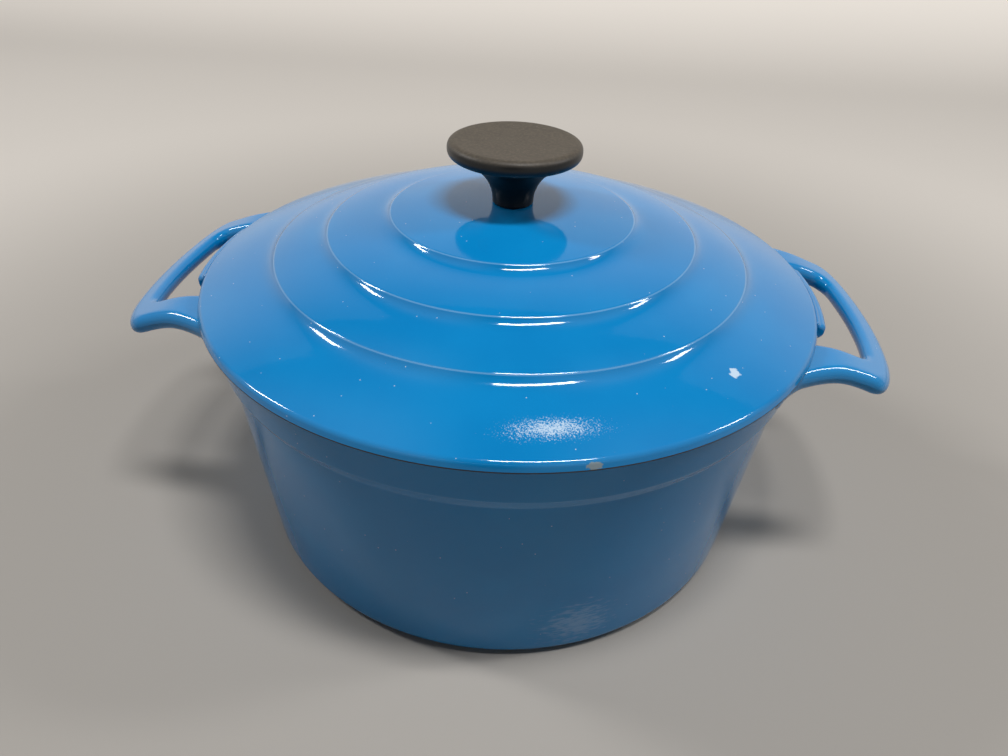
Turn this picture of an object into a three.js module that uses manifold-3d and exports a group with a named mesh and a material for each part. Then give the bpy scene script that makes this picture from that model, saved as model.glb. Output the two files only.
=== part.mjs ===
// Round enamelled cast-iron oven: a pot with two cast loop handles, and a stepped lid with a screwed-on knob.
// Millimetres, +Z up. The origin is the middle of the base, and the handles lie along the X axis.
import * as THREE from "three";
import { mergeVertices } from "three/addons/utils/BufferGeometryUtils.js";
import Module from "manifold-3d";

const wasm = await Module();
wasm.setup();

// Fits between pieces
const SEAT_GAP = 0.3; // between a piece and the face it sits on
const SLIP = 0.3; // radial, between a piece and the round hole it goes in

// Pot
const POT_HEIGHT = 113; // base to rim
const RIM_RADIUS = 126.2; // outside of the collar at the rim
const RIM_WIDTH = 5.4; // from the collar to the mouth
const RIM_ROUND = 1.4;
const COLLAR_DEPTH = 16.5; // from the rim down to the step
const COLLAR_DRAFT = 1.8; // how much the collar narrows towards the step
const STEP_WIDTH = 2.7; // from the collar in to the wall below it
const STEP_RISE = 5;
const BASE_RADIUS = 112.8; // where the wall's slope meets the base
const BASE_CORNER = 5.6;
const WALL = 3.6; // at the base
const FLOOR = 4.4;
const FLOOR_CORNER = 18; // between the wall and the floor, inside
const FOOT_WIDTH = 9; // flat ring that the pot stands on
const FOOT_HEIGHT = 0.9; // hollow of the base inside that ring

// Loop handles, in plan on the +X side; spans are half widths across the X axis
const HANDLE_REACH = 35; // from the rim to the outside of the bar
const HANDLE_DROP = 0.5; // from the rim down to the top of the roots
const HANDLE_KNEE = 6.2; // from the rim out to where the handle bends down
const HANDLE_BEND = 6; // length of that bend
const HANDLE_SLOPE = 21; // degrees, beyond the bend
const HANDLE_THICKNESS = 8.2;
const HANDLE_ROUND = 4; // rounding of every long edge
const BAR_WIDTH = 11.2;
const TIP_SPAN = 50.4; // outer corners and legs
const TIP_ROUND = 17.5; // from the corner back to where the bar starts to turn
const LEG_REACH = 19.6; // from the rim out to where the corner ends and the leg starts to spread
const ROOT_SPAN = 70; // where the legs have spread into the collar
const OPENING_SPAN = 35.2; // finger gap at the bar
const OPENING_ROOT_SPAN = 33.8; // finger gap at the collar
const OPENING_ROUND = 6.5;

// Lid
const LID_OVERHANG = 3.6; // beyond the rim
const LID_EDGE = 3.4; // height of the edge, up to where the skirt's slope meets it
const EDGE_ROUND = 1.2; // over the top of the edge
const EDGE_EASE = 0.7; // under it
const LID_WALL = 4;
const SKIRT_WIDTH = 31.4; // from the lid's edge in to the outer ring's crest
const SKIRT_RISE = 15.1; // from the seat up to that crest
const OUTER_BAND_WIDTH = 22;
const OUTER_BAND_RISE = 8.6;
const INNER_BAND_WIDTH = 25.8;
const INNER_BAND_RISE = 6.9;
const CROWN_RISE = 3.4; // from the inner ring's crest up to the knob's seat
const RING_STEP_WIDTH = 4.4; // each ring steps down this far outwards
const RING_STEP_HEIGHT = 2.3;
const BAND_CROWN = 0.65; // the bands between the rings bulge this far
const PAD_MARGIN = 2; // flat of the knob's seat beyond the stem
const LOCATOR_DEPTH = 5; // ring below the lid that drops into the mouth
const LOCATOR_WIDTH = 5;
const LOCATOR_CLEARANCE = 1.3;
const EAR_WIDTH = 52; // along the lid's edge
const EAR_REACH = 3.4; // beyond the lid's edge
const EAR_DROP = 5; // below the lid's seat
const EAR_HEIGHT = 6.3;
const EAR_CLEARANCE = 1.6; // to the collar
const EAR_ROUND = 2.3; // rounding of the long edges
const EAR_TAPER = 2.5; // length over which each end draws in to the lid

// Knob and its fastening
const KNOB_RADIUS = 27.2;
const KNOB_HEIGHT = 25.4;
const KNOB_EDGE = 6.4; // height of the disc's rounded edge
const KNOB_DISH = 0.5; // hollow of the disc's top
const KNOB_FLARE = 18.5; // height of the trumpet between stem and disc
const KNOB_UNDERCUT = 6.3; // how far the disc's underside rises to its edge
const STEM_WALL = 3;
const INSERT_WALL = 1.9;
const INSERT_LENGTH = 12;
const SCREW_RADIUS = 3;
const SCREW_ENGAGEMENT = 7; // how far the screw runs into the insert
const SCREW_HEAD_RADIUS = 5.6;
const SCREW_HEAD_HEIGHT = 3.2;
const SCREW_SLOT_WIDTH = 1.5;
const SCREW_SLOT_DEPTH = 1.7;
const SCREW_POINT = 0.7; // chamfer of the screw's end
const FLAT_WASHER_WIDTH = 3.6;
const FLAT_WASHER_THICKNESS = 1.2;
const SPRING_WASHER_WIDTH = 2.1;
const SPRING_WASHER_THICKNESS = 1.5;
const SPRING_WASHER_SPLIT = 1.4;

// Fineness of the facets
const ROUND_SEGMENTS = 60;
const KNOB_SEGMENTS = 48;
const SMALL_SEGMENTS = 24;
const CURVE_STEPS = 3;
const CORNER_STEPS = 2;
const BAR_STEPS = 6;

// Places that follow from the sizes
const MOUTH_RADIUS = RIM_RADIUS - RIM_WIDTH;
const COLLAR_FOOT_RADIUS = RIM_RADIUS - COLLAR_DRAFT;
const STEP_TOP = POT_HEIGHT - COLLAR_DEPTH;
const LID_SEAT = POT_HEIGHT + SEAT_GAP;
const LID_RADIUS = RIM_RADIUS + LID_OVERHANG;
const INSERT_BORE = SCREW_RADIUS + SLIP;
const INSERT_RADIUS = INSERT_BORE + INSERT_WALL;
const STEM_RADIUS = INSERT_RADIUS + SLIP + STEM_WALL;
const PAD_RADIUS = STEM_RADIUS + PAD_MARGIN;
const OUTER_RING = new THREE.Vector2(LID_RADIUS - SKIRT_WIDTH, LID_SEAT + SKIRT_RISE);
const MIDDLE_RING = new THREE.Vector2(OUTER_RING.x - OUTER_BAND_WIDTH, OUTER_RING.y + OUTER_BAND_RISE);
const INNER_RING = new THREE.Vector2(MIDDLE_RING.x - INNER_BAND_WIDTH, MIDDLE_RING.y + INNER_BAND_RISE);
const LID_TOP = INNER_RING.y + CROWN_RISE;
const LID_PAD_UNDERSIDE = LID_TOP - LID_WALL;
const KNOB_BASE = LID_TOP + SEAT_GAP;
const FLAT_WASHER_TOP = LID_PAD_UNDERSIDE - SEAT_GAP;
const SPRING_WASHER_TOP = FLAT_WASHER_TOP - FLAT_WASHER_THICKNESS - SEAT_GAP;
const SCREW_SEAT = SPRING_WASHER_TOP - SPRING_WASHER_THICKNESS - SEAT_GAP;

// Finishes
const BLUE_ENAMEL = { color: 0x1c74b4, roughness: 0.2, metalness: 0 };
const BLACK_PHENOLIC = { color: 0x2a2825, roughness: 0.6, metalness: 0 };
const BRASS = { color: 0xb08d4a, roughness: 0.35, metalness: 1 };
const STEEL = { color: 0xa9abad, roughness: 0.35, metalness: 1 };

// Solid of revolution about Z from a path of radius and height, run anticlockwise.
function turned(path, segments) {
  return new THREE.LatheGeometry(path.getPoints(CURVE_STEPS), segments).rotateX(Math.PI / 2);
}

// Closed geometry as a solid that can be joined and cut.
function solid(geometry) {
  const bare = geometry.clone();
  bare.deleteAttribute("normal");
  bare.deleteAttribute("uv");
  const merged = mergeVertices(bare);
  return new wasm.Manifold(
    new wasm.Mesh({
      numProp: 3,
      vertProperties: merged.attributes.position.array,
      triVerts: new Uint32Array(merged.index.array),
    }),
  );
}

// Joined or cut solid as a geometry again.
function geometryOf(made) {
  const mesh = made.getMesh();
  const geometry = new THREE.BufferGeometry();
  geometry.setAttribute("position", new THREE.BufferAttribute(mesh.vertProperties, 3));
  geometry.setIndex(new THREE.BufferAttribute(mesh.triVerts, 1));
  return geometry;
}

// Point on a circle about the origin at the given distance across the X axis.
function onCircle(radius, across) {
  return new THREE.Vector2(Math.sqrt(radius * radius - across * across), across);
}

// Point that lies the given distance from one point towards another.
function towards(from, to, distance) {
  return from.clone().lerp(to, distance / from.distanceTo(to));
}

// Points along an arc about the origin, without its last point.
function arc(radius, from, to, steps) {
  return Array.from({ length: steps }, (_, i) => {
    const angle = THREE.MathUtils.lerp(from, to, i / steps);
    return new THREE.Vector2(radius * Math.cos(angle), radius * Math.sin(angle));
  });
}

// Points along a bend that heads for the corner between its two ends, without its last point.
function bend(from, corner, to, steps) {
  return new THREE.QuadraticBezierCurve(from, corner, to).getPoints(steps).slice(0, -1);
}

// Points on both sides of the X axis, from those that run from the axis away on the +Y side.
function mirrored(half) {
  const other = half.slice(1).reverse();
  return [...other.map((p) => new THREE.Vector2(p.x, -p.y)), ...half];
}

// Bar with a rounded section from an inner to an outer line, anticlockwise in plan, with its top at topAt(x).
function bar(inner, outer, thickness, round, topAt) {
  const positions = [];
  const indices = [];
  const halfHeight = thickness / 2;
  const around = 4 * (CORNER_STEPS + 1);
  inner.forEach((from, j) => {
    const to = outer[j];
    const halfWidth = from.distanceTo(to) / 2;
    const radius = Math.min(round, halfWidth, halfHeight);
    for (let k = 0; k < around; k++) {
      const quarter = Math.floor(k / (CORNER_STEPS + 1));
      const angle = ((quarter + (k % (CORNER_STEPS + 1)) / CORNER_STEPS) * Math.PI) / 2;
      const out = quarter === 0 || quarter === 3 ? 1 : -1;
      const up = quarter < 2 ? 1 : -1;
      const across = out * (halfWidth - radius) + radius * Math.cos(angle);
      const rise = up * (halfHeight - radius) + radius * Math.sin(angle);
      const p = from.clone().lerp(to, (1 + across / halfWidth) / 2);
      positions.push(p.x, p.y, topAt(p.x) - halfHeight + rise);
    }
  });
  const last = (inner.length - 1) * around;
  for (let k = 0; k < around; k++) {
    const next = (k + 1) % around;
    for (let base = 0; base < last; base += around) {
      indices.push(base + k, base + around + k, base + next);
      indices.push(base + around + k, base + around + next, base + next);
    }
    if (k > 0 && k < around - 1) {
      indices.push(0, k, next);
      indices.push(last, last + next, last + k);
    }
  }
  const geometry = new THREE.BufferGeometry();
  geometry.setAttribute("position", new THREE.Float32BufferAttribute(positions, 3));
  geometry.setIndex(indices);
  return geometry;
}

// Radius of the cavity at a height.
function insideAt(z) {
  return THREE.MathUtils.lerp(BASE_RADIUS - WALL, MOUTH_RADIUS, z / POT_HEIGHT);
}

// Pot without handles: sloped wall, collar, rounded rim, and a foot ring below.
function potShell() {
  const wallTop = new THREE.Vector2(COLLAR_FOOT_RADIUS - STEP_WIDTH, STEP_TOP - STEP_RISE);
  const wallAt = (z) => THREE.MathUtils.lerp(BASE_RADIUS, wallTop.x, z / wallTop.y);
  const footRadius = BASE_RADIUS - BASE_CORNER;
  const hollowRadius = footRadius - FOOT_WIDTH;
  const cornerTop = FLOOR + FLOOR_CORNER;
  const stepMiddle = STEP_TOP - STEP_RISE / 2;
  const path = new THREE.Path();
  path.moveTo(0, FOOT_HEIGHT);
  path.lineTo(hollowRadius - FOOT_HEIGHT, FOOT_HEIGHT);
  path.lineTo(hollowRadius, 0);
  path.lineTo(footRadius, 0);
  path.quadraticCurveTo(BASE_RADIUS, 0, wallAt(BASE_CORNER), BASE_CORNER);
  path.lineTo(wallTop.x, wallTop.y);
  path.bezierCurveTo(wallTop.x, stepMiddle, COLLAR_FOOT_RADIUS, stepMiddle, COLLAR_FOOT_RADIUS, STEP_TOP);
  path.lineTo(RIM_RADIUS, POT_HEIGHT - RIM_ROUND);
  path.quadraticCurveTo(RIM_RADIUS, POT_HEIGHT, RIM_RADIUS - RIM_ROUND, POT_HEIGHT);
  path.lineTo(MOUTH_RADIUS + RIM_ROUND, POT_HEIGHT);
  path.quadraticCurveTo(MOUTH_RADIUS, POT_HEIGHT, insideAt(POT_HEIGHT - RIM_ROUND), POT_HEIGHT - RIM_ROUND);
  path.lineTo(insideAt(cornerTop), cornerTop);
  path.quadraticCurveTo(insideAt(FLOOR), FLOOR, insideAt(FLOOR) - FLOOR_CORNER, FLOOR);
  path.lineTo(0, FLOOR);
  return solid(turned(path, ROUND_SEGMENTS));
}

// Height of the handle's top: level at the roots, then a bend down to a straight slope.
function handleTopAt(x) {
  const beyond = x - RIM_RADIUS - HANDLE_KNEE;
  const run = (beyond + Math.hypot(beyond, HANDLE_BEND)) / 2;
  return POT_HEIGHT - HANDLE_DROP - run * Math.tan(THREE.MathUtils.degToRad(HANDLE_SLOPE));
}

// Loop handle on the +X side: a bar that follows the pot, on two legs that spread into the collar.
function loopHandle() {
  const barOutside = RIM_RADIUS + HANDLE_REACH;
  const barInside = barOutside - BAR_WIDTH;
  const rootRadius = (MOUTH_RADIUS + COLLAR_FOOT_RADIUS) / 2;
  const tip = onCircle(barOutside, TIP_SPAN);
  const tipStart = onCircle(barOutside, TIP_SPAN - TIP_ROUND);
  const leg = new THREE.Vector2(RIM_RADIUS + LEG_REACH, TIP_SPAN);
  const root = onCircle(rootRadius, ROOT_SPAN);
  const legBend = new THREE.Vector2((leg.x + root.x) / 2, leg.y);
  const gapRoot = onCircle(rootRadius, OPENING_ROOT_SPAN);
  const gapCorner = onCircle(barInside, OPENING_SPAN);
  const gapStart = onCircle(barInside, OPENING_SPAN - OPENING_ROUND);
  const gapSide = towards(gapCorner, gapRoot, OPENING_ROUND);
  const gapBend = gapRoot.clone().lerp(gapSide, 1 / 3).setY(gapRoot.y);
  const buried = (p) => p.clone().setLength(rootRadius - RIM_WIDTH);
  const outer = [
    ...arc(barOutside, 0, tipStart.angle(), BAR_STEPS),
    ...bend(tipStart, tip, leg, 2 * CURVE_STEPS),
    ...bend(leg, legBend, root, 2 * CURVE_STEPS),
    root,
    buried(root),
  ];
  const inner = [
    ...arc(barInside, 0, gapStart.angle(), BAR_STEPS),
    ...bend(gapStart, gapCorner, gapSide, 2 * CURVE_STEPS),
    ...bend(gapSide, gapBend, gapRoot, 2 * CURVE_STEPS),
    gapRoot,
    buried(gapRoot),
  ];
  const whole = solid(bar(mirrored(inner), mirrored(outer), HANDLE_THICKNESS, HANDLE_ROUND, handleTopAt));
  const core = new THREE.CylinderGeometry(rootRadius, rootRadius, 2 * POT_HEIGHT, ROUND_SEGMENTS);
  return whole.subtract(solid(core.rotateX(Math.PI / 2).translate(0, 0, POT_HEIGHT)));
}

function potCasting() {
  const handle = loopHandle();
  return geometryOf(potShell().add(handle).add(handle.rotate([0, 0, 180])));
}

// Lid without ears: bulging bands step down at three rings, and a ring below the seat drops into the mouth.
function lidShell() {
  const rings = [OUTER_RING, MIDDLE_RING, INNER_RING];
  const locatorOutside = MOUTH_RADIUS - LOCATOR_CLEARANCE;
  const locatorInside = locatorOutside - LOCATOR_WIDTH;
  const locatorBottom = LID_SEAT - LOCATOR_DEPTH;
  const edgeCorner = new THREE.Vector2(LID_RADIUS, LID_SEAT + LID_EDGE);
  const skirtTop = new THREE.Vector2(OUTER_RING.x + RING_STEP_WIDTH, OUTER_RING.y - RING_STEP_HEIGHT);
  const edgeTop = towards(edgeCorner, skirtTop, EDGE_ROUND);
  const skirtShare = (LID_RADIUS - locatorInside) / SKIRT_WIDTH;
  const skirtUnderside = THREE.MathUtils.lerp(edgeCorner.y, OUTER_RING.y, skirtShare) - LID_WALL;
  const hole = SCREW_RADIUS + SLIP;
  const path = new THREE.Path();
  path.moveTo(hole, LID_PAD_UNDERSIDE);
  path.lineTo(PAD_RADIUS, LID_PAD_UNDERSIDE);
  for (const ring of [...rings].reverse()) {
    path.lineTo(ring.x, ring.y - LID_WALL);
  }
  path.lineTo(locatorInside, skirtUnderside);
  path.lineTo(locatorInside, locatorBottom);
  path.lineTo(locatorOutside, locatorBottom);
  path.lineTo(locatorOutside, LID_SEAT);
  path.lineTo(LID_RADIUS - EDGE_EASE, LID_SEAT);
  path.quadraticCurveTo(LID_RADIUS, LID_SEAT, LID_RADIUS, LID_SEAT + EDGE_EASE);
  path.lineTo(LID_RADIUS, edgeCorner.y - EDGE_ROUND);
  path.quadraticCurveTo(edgeCorner.x, edgeCorner.y, edgeTop.x, edgeTop.y);
  for (const ring of rings) {
    const foot = new THREE.Vector2(ring.x + RING_STEP_WIDTH, ring.y - RING_STEP_HEIGHT);
    const middle = path.currentPoint.clone().add(foot).divideScalar(2);
    path.quadraticCurveTo(middle.x, middle.y + 2 * BAND_CROWN, foot.x, foot.y);
    path.quadraticCurveTo(ring.x + RING_STEP_WIDTH / 4, foot.y + RING_STEP_HEIGHT / 3, ring.x, ring.y);
  }
  path.quadraticCurveTo((INNER_RING.x + PAD_RADIUS) / 2, LID_TOP - CROWN_RISE / 8, PAD_RADIUS, LID_TOP);
  path.lineTo(hole, LID_TOP);
  path.closePath();
  return solid(turned(path, ROUND_SEGMENTS));
}

// Ear on the +X side: a short lip that stands out from the lid's edge above the handle.
function lidEar() {
  const outside = LID_RADIUS + EAR_REACH;
  const inside = RIM_RADIUS + EAR_CLEARANCE;
  const end = onCircle(inside, EAR_WIDTH / 2).angle();
  const taperStart = onCircle(outside, EAR_WIDTH / 2 - EAR_TAPER).angle();
  const taper = arc(outside, taperStart, end, CURVE_STEPS).map((p, i) => {
    const drawn = Math.sqrt(1 - (i / CURVE_STEPS) ** 2);
    return p.setLength(THREE.MathUtils.lerp(inside, outside, drawn));
  });
  const outer = [...arc(outside, 0, taperStart, BAR_STEPS), ...taper];
  const inner = outer.map((p) => p.clone().setLength(inside));
  const top = LID_SEAT - EAR_DROP + EAR_HEIGHT;
  return solid(bar(mirrored(inner), mirrored(outer), EAR_HEIGHT, EAR_ROUND, () => top));
}

function lidCasting() {
  const ear = lidEar();
  return geometryOf(lidShell().add(ear).add(ear.rotate([0, 0, 180])));
}

// Knob: a dished disc with a rounded edge on a trumpet-shaped stem, with a blind hole for the insert.
function lidKnob() {
  const hole = INSERT_RADIUS + SLIP;
  const holeTop = KNOB_BASE + INSERT_LENGTH + SEAT_GAP;
  const top = KNOB_BASE + KNOB_HEIGHT;
  const edgeMiddle = top - KNOB_EDGE / 2;
  const edgeBottom = top - KNOB_EDGE;
  const edgeInside = KNOB_RADIUS - KNOB_EDGE / 2;
  const path = new THREE.Path();
  path.moveTo(0, holeTop);
  path.lineTo(hole, holeTop);
  path.lineTo(hole, KNOB_BASE);
  path.lineTo(STEM_RADIUS, KNOB_BASE);
  path.lineTo(STEM_RADIUS, edgeBottom - KNOB_FLARE);
  path.quadraticCurveTo(STEM_RADIUS, edgeBottom - KNOB_UNDERCUT, edgeInside, edgeBottom);
  path.quadraticCurveTo(KNOB_RADIUS, edgeBottom, KNOB_RADIUS, edgeMiddle);
  path.quadraticCurveTo(KNOB_RADIUS, top, edgeInside, top);
  path.quadraticCurveTo(edgeInside / 2, top - KNOB_DISH, 0, top - KNOB_DISH);
  return turned(path, KNOB_SEGMENTS);
}

// Threaded insert, its thread drawn as a plain bore.
function knobInsert() {
  const path = new THREE.Path();
  path.moveTo(INSERT_BORE, KNOB_BASE);
  path.lineTo(INSERT_RADIUS, KNOB_BASE);
  path.lineTo(INSERT_RADIUS, KNOB_BASE + INSERT_LENGTH);
  path.lineTo(INSERT_BORE, KNOB_BASE + INSERT_LENGTH);
  path.closePath();
  return turned(path, SMALL_SEGMENTS);
}

// Slotted screw with a domed head, from under the lid up into the insert.
function knobScrew() {
  const end = KNOB_BASE + SCREW_ENGAGEMENT;
  const headBottom = SCREW_SEAT - SCREW_HEAD_HEIGHT;
  const path = new THREE.Path();
  path.moveTo(0, headBottom);
  path.quadraticCurveTo(SCREW_HEAD_RADIUS, headBottom, SCREW_HEAD_RADIUS, SCREW_SEAT);
  path.lineTo(SCREW_RADIUS, SCREW_SEAT);
  path.lineTo(SCREW_RADIUS, end - SCREW_POINT);
  path.lineTo(SCREW_RADIUS - SCREW_POINT, end);
  path.lineTo(0, end);
  const slot = new THREE.BoxGeometry(4 * SCREW_HEAD_RADIUS, SCREW_SLOT_WIDTH, 2 * SCREW_SLOT_DEPTH);
  slot.translate(0, 0, headBottom);
  return geometryOf(solid(turned(path, SMALL_SEGMENTS)).subtract(solid(slot)));
}

// Flat ring round the screw; a split leaves it open on one side.
function washer(width, thickness, top, split) {
  const inside = SCREW_RADIUS + SLIP;
  const outside = inside + width;
  const shape = new THREE.Shape();
  if (split > 0) {
    const start = Math.asin(split / (2 * inside));
    shape.absarc(0, 0, outside, start, 2 * Math.PI - start, false);
    shape.absarc(0, 0, inside, 2 * Math.PI - start, start, true);
  } else {
    shape.absarc(0, 0, outside, 0, 2 * Math.PI, false);
    shape.holes.push(new THREE.Path().absarc(0, 0, inside, 0, 2 * Math.PI, true));
  }
  const plain = { depth: thickness, bevelEnabled: false, curveSegments: SMALL_SEGMENTS };
  return new THREE.ExtrudeGeometry(shape, plain).translate(0, 0, top - thickness);
}

function mesh(name, geometry, finish) {
  const made = new THREE.Mesh(geometry, new THREE.MeshStandardMaterial(finish));
  made.name = name;
  return made;
}

const pot = new THREE.Group();
pot.add(mesh("pot_casting", potCasting(), BLUE_ENAMEL));

const lid = new THREE.Group();
lid.add(mesh("lid_casting", lidCasting(), BLUE_ENAMEL));
lid.add(mesh("lid_knob", lidKnob(), BLACK_PHENOLIC));
lid.add(mesh("knob_insert", knobInsert(), BRASS));
lid.add(mesh("knob_screw", knobScrew(), STEEL));
lid.add(
  mesh("flat_washer", washer(FLAT_WASHER_WIDTH, FLAT_WASHER_THICKNESS, FLAT_WASHER_TOP, 0), STEEL),
);
lid.add(
  mesh(
    "spring_washer",
    washer(SPRING_WASHER_WIDTH, SPRING_WASHER_THICKNESS, SPRING_WASHER_TOP, SPRING_WASHER_SPLIT),
    STEEL,
  ),
);

const oven = new THREE.Group();
oven.add(pot, lid);

export default oven;
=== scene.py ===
"""Looks of a round enamelled cast-iron oven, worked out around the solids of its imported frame.

The pot and the lid are turned surfaces with rounded steps, the handles and the lid's ears are bars with a
rounded section, and every finish is procedural. Sizes are in metres, in the frame of the solids.
"""
import logging
import math
from dataclasses import dataclass
from enum import Enum
from typing import Optional, Union

import bmesh
import bpy
import numpy as np
from mathutils import Euler, Matrix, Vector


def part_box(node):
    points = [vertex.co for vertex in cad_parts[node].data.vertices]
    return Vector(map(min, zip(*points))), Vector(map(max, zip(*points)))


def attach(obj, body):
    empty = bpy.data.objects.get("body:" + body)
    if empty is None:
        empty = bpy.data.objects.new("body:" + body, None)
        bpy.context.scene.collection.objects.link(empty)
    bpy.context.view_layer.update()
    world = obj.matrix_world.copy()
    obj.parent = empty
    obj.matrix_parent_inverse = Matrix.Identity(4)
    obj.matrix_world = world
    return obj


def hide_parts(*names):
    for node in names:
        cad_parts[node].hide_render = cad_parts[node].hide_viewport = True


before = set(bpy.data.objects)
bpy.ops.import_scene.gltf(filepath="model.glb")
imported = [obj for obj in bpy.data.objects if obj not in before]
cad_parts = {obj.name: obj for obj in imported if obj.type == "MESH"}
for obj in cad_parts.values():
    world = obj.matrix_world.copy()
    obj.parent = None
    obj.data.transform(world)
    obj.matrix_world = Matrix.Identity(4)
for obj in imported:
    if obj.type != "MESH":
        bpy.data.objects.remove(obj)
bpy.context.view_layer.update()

MM = 0.001
MERGE_DISTANCE = 0.001 * MM
POT_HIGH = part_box("pot_casting")[1]
LID_LOW, LID_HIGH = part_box("lid_casting")
KNOB_LOW, KNOB_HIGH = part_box("lid_knob")
LOG = logging.getLogger("oven")

Pair = tuple[float, float]
Triple = tuple[float, float, float]
Colour = tuple[float, float, float]
Value = Union[float, tuple, bpy.types.NodeSocket]


# Shapes

def link(name: str, data: bpy.types.ID) -> bpy.types.Object:
    """Adds an object to the scene, at the origin.

    Args:
        name: Name of the object.
        data: Mesh, lamp or camera that it shows.

    Returns:
        The new object.
    """
    made = bpy.data.objects.new(name, data)
    bpy.context.scene.collection.objects.link(made)
    return made


@dataclass
class Surface:
    """Grid of points that runs along rows and round columns, with the finish of each row of faces.

    Attributes:
        points: Array of rows by columns by 3.
        finishes: Index of the material of each row of faces, or None where there is one material.
        closed_rows: Whether the last row joins the first.
        closed_columns: Whether the last column joins the first.
        capped: Whether a face closes the first row and another the last.
    """

    points: np.ndarray
    finishes: Optional[np.ndarray] = None
    closed_rows: bool = False
    closed_columns: bool = True
    capped: bool = False

    def faces(self) -> tuple[list[list[int]], list[int]]:
        """Joins each point to the next of its row and column.

        Returns:
            The faces as lists of vertex numbers, and the material index of each.
        """
        rows, columns = self.points.shape[:2]
        row_spans = rows if self.closed_rows else rows - 1
        column_spans = columns if self.closed_columns else columns - 1
        row, column = np.meshgrid(np.arange(row_spans), np.arange(column_spans), indexing="ij")
        next_row = (row + 1) % rows
        next_column = (column + 1) % columns
        quads = np.stack(
            [
                row * columns + column,
                row * columns + next_column,
                next_row * columns + next_column,
                next_row * columns + column,
            ],
            axis=-1,
        ).reshape(-1, 4)
        per_row = np.zeros(row_spans, dtype=int) if self.finishes is None else self.finishes
        faces = quads.tolist()
        finish = np.repeat(per_row, column_spans).tolist()
        if self.capped:
            faces += [list(range(columns)), list(range((rows - 1) * columns, rows * columns))]
            finish += [0, 0]
        return faces, finish

    def mesh(self, name: str, materials: list[bpy.types.Material]) -> bpy.types.Mesh:
        """Makes a smooth-shaded mesh of the grid as it is.

        Args:
            name: Name of the mesh.
            materials: Materials in the order of the finishes.

        Returns:
            The new mesh.
        """
        faces, finish = self.faces()
        mesh = bpy.data.meshes.new(name)
        mesh.from_pydata(self.points.reshape(-1, 3).tolist(), [], faces)
        mesh.polygons.foreach_set("material_index", finish)
        mesh.polygons.foreach_set("use_smooth", [True] * len(faces))
        for material in materials:
            mesh.materials.append(material)
        return mesh

    def piece(self, name: str, materials: list[bpy.types.Material]) -> bpy.types.Object:
        """Makes a piece of the oven, with poles merged and faces turned outwards.

        Args:
            name: Name of the piece.
            materials: Materials in the order of the finishes.

        Returns:
            The new object, at the origin.
        """
        mesh = self.mesh(name, materials)
        work = bmesh.new()
        work.from_mesh(mesh)
        bmesh.ops.remove_doubles(work, verts=work.verts, dist=MERGE_DISTANCE)
        bmesh.ops.recalc_face_normals(work, faces=work.faces)
        work.to_mesh(mesh)
        work.free()
        made = link(name, mesh)
        made.modifiers.new("even_flats", "WEIGHTED_NORMAL").mode = "FACE_AREA"
        return made


def unit(vectors: np.ndarray) -> np.ndarray:
    """Each vector divided by its length."""
    return vectors / np.linalg.norm(vectors, axis=-1, keepdims=True)


def bend(start: np.ndarray, corner: np.ndarray, end: np.ndarray, share: np.ndarray) -> np.ndarray:
    """Quadratic curve that leaves one end and reaches the other heading for the corner.

    Args:
        start: First end.
        corner: Corner that both ends head for.
        end: Last end.
        share: Places along the curve, from 0 to 1.

    Returns:
        Points at start (1 - t)^2 + corner 2t(1 - t) + end t^2.
    """
    t = share[:, None]
    return start * (1 - t) ** 2 + corner * 2 * t * (1 - t) + end * t**2


def steps(count: int) -> np.ndarray:
    """Even shares from 0 up to, and without, 1."""
    return np.linspace(0, 1, count, endpoint=False)


def rounded(corners: np.ndarray, cuts: np.ndarray, count: int) -> np.ndarray:
    """Rounds every inner corner of a path with the arc that touches both its sides.

    An arc starts and ends a cut length from its corner, so its radius is the cut times the tangent of half
    the corner's angle, and its points turn evenly from the first touching point to the last.

    Args:
        corners: Path of n + 2 points, whose first and last stay sharp.
        cuts: The n cut lengths.
        count: Spans in each arc.

    Returns:
        The arcs' points in order, without the path's two ends, as n (count + 1) rows.
    """
    at = corners[1:-1]
    back = unit(corners[:-2] - at)
    ahead = unit(corners[2:] - at)
    half = 0.5 * np.arccos(np.clip((back * ahead).sum(axis=1), -1, 1))
    centre = at + unit(back + ahead) * (cuts / np.cos(half))[:, None]
    first = at + back * cuts[:, None] - centre
    last = at + ahead * cuts[:, None] - centre
    turn = (np.pi - 2 * half)[:, None]
    share = np.linspace(0, 1, count + 1)[None, :]
    from_first = (np.sin((1 - share) * turn) / np.sin(turn))[:, :, None]
    from_last = (np.sin(share * turn) / np.sin(turn))[:, :, None]
    arcs = centre[:, None] + from_first * first[:, None] + from_last * last[:, None]
    return arcs.reshape(-1, 2)


def turned(profile: np.ndarray, segments: int) -> np.ndarray:
    """Turns a profile about the Z axis.

    Args:
        profile: Points as radius and height.
        segments: Points round the axis.

    Returns:
        Grid whose point (i, j) is profile point i turned by j / segments of a full turn.
    """
    angle = 2 * np.pi * steps(segments)
    radius = profile[:, :1]
    height = np.broadcast_to(profile[:, 1:], (len(profile), segments))
    return np.stack([radius * np.cos(angle), radius * np.sin(angle), height], axis=-1)


def on_circle(radius: float, across: float) -> np.ndarray:
    """Point on a circle about the origin at the given distance across the X axis."""
    return np.array([math.sqrt(radius**2 - across**2), across])


def arc(radius: Union[float, np.ndarray], angle: np.ndarray) -> np.ndarray:
    """Points of a circle about the origin at the given angles."""
    return np.stack([radius * np.cos(angle), radius * np.sin(angle)], axis=-1)


def both_sides(half: np.ndarray) -> np.ndarray:
    """Line on both sides of the X axis, from the half that runs from the axis away on the +Y side."""
    other = half[:0:-1] * np.array([1, -1])
    return np.vstack([other, half])


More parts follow.
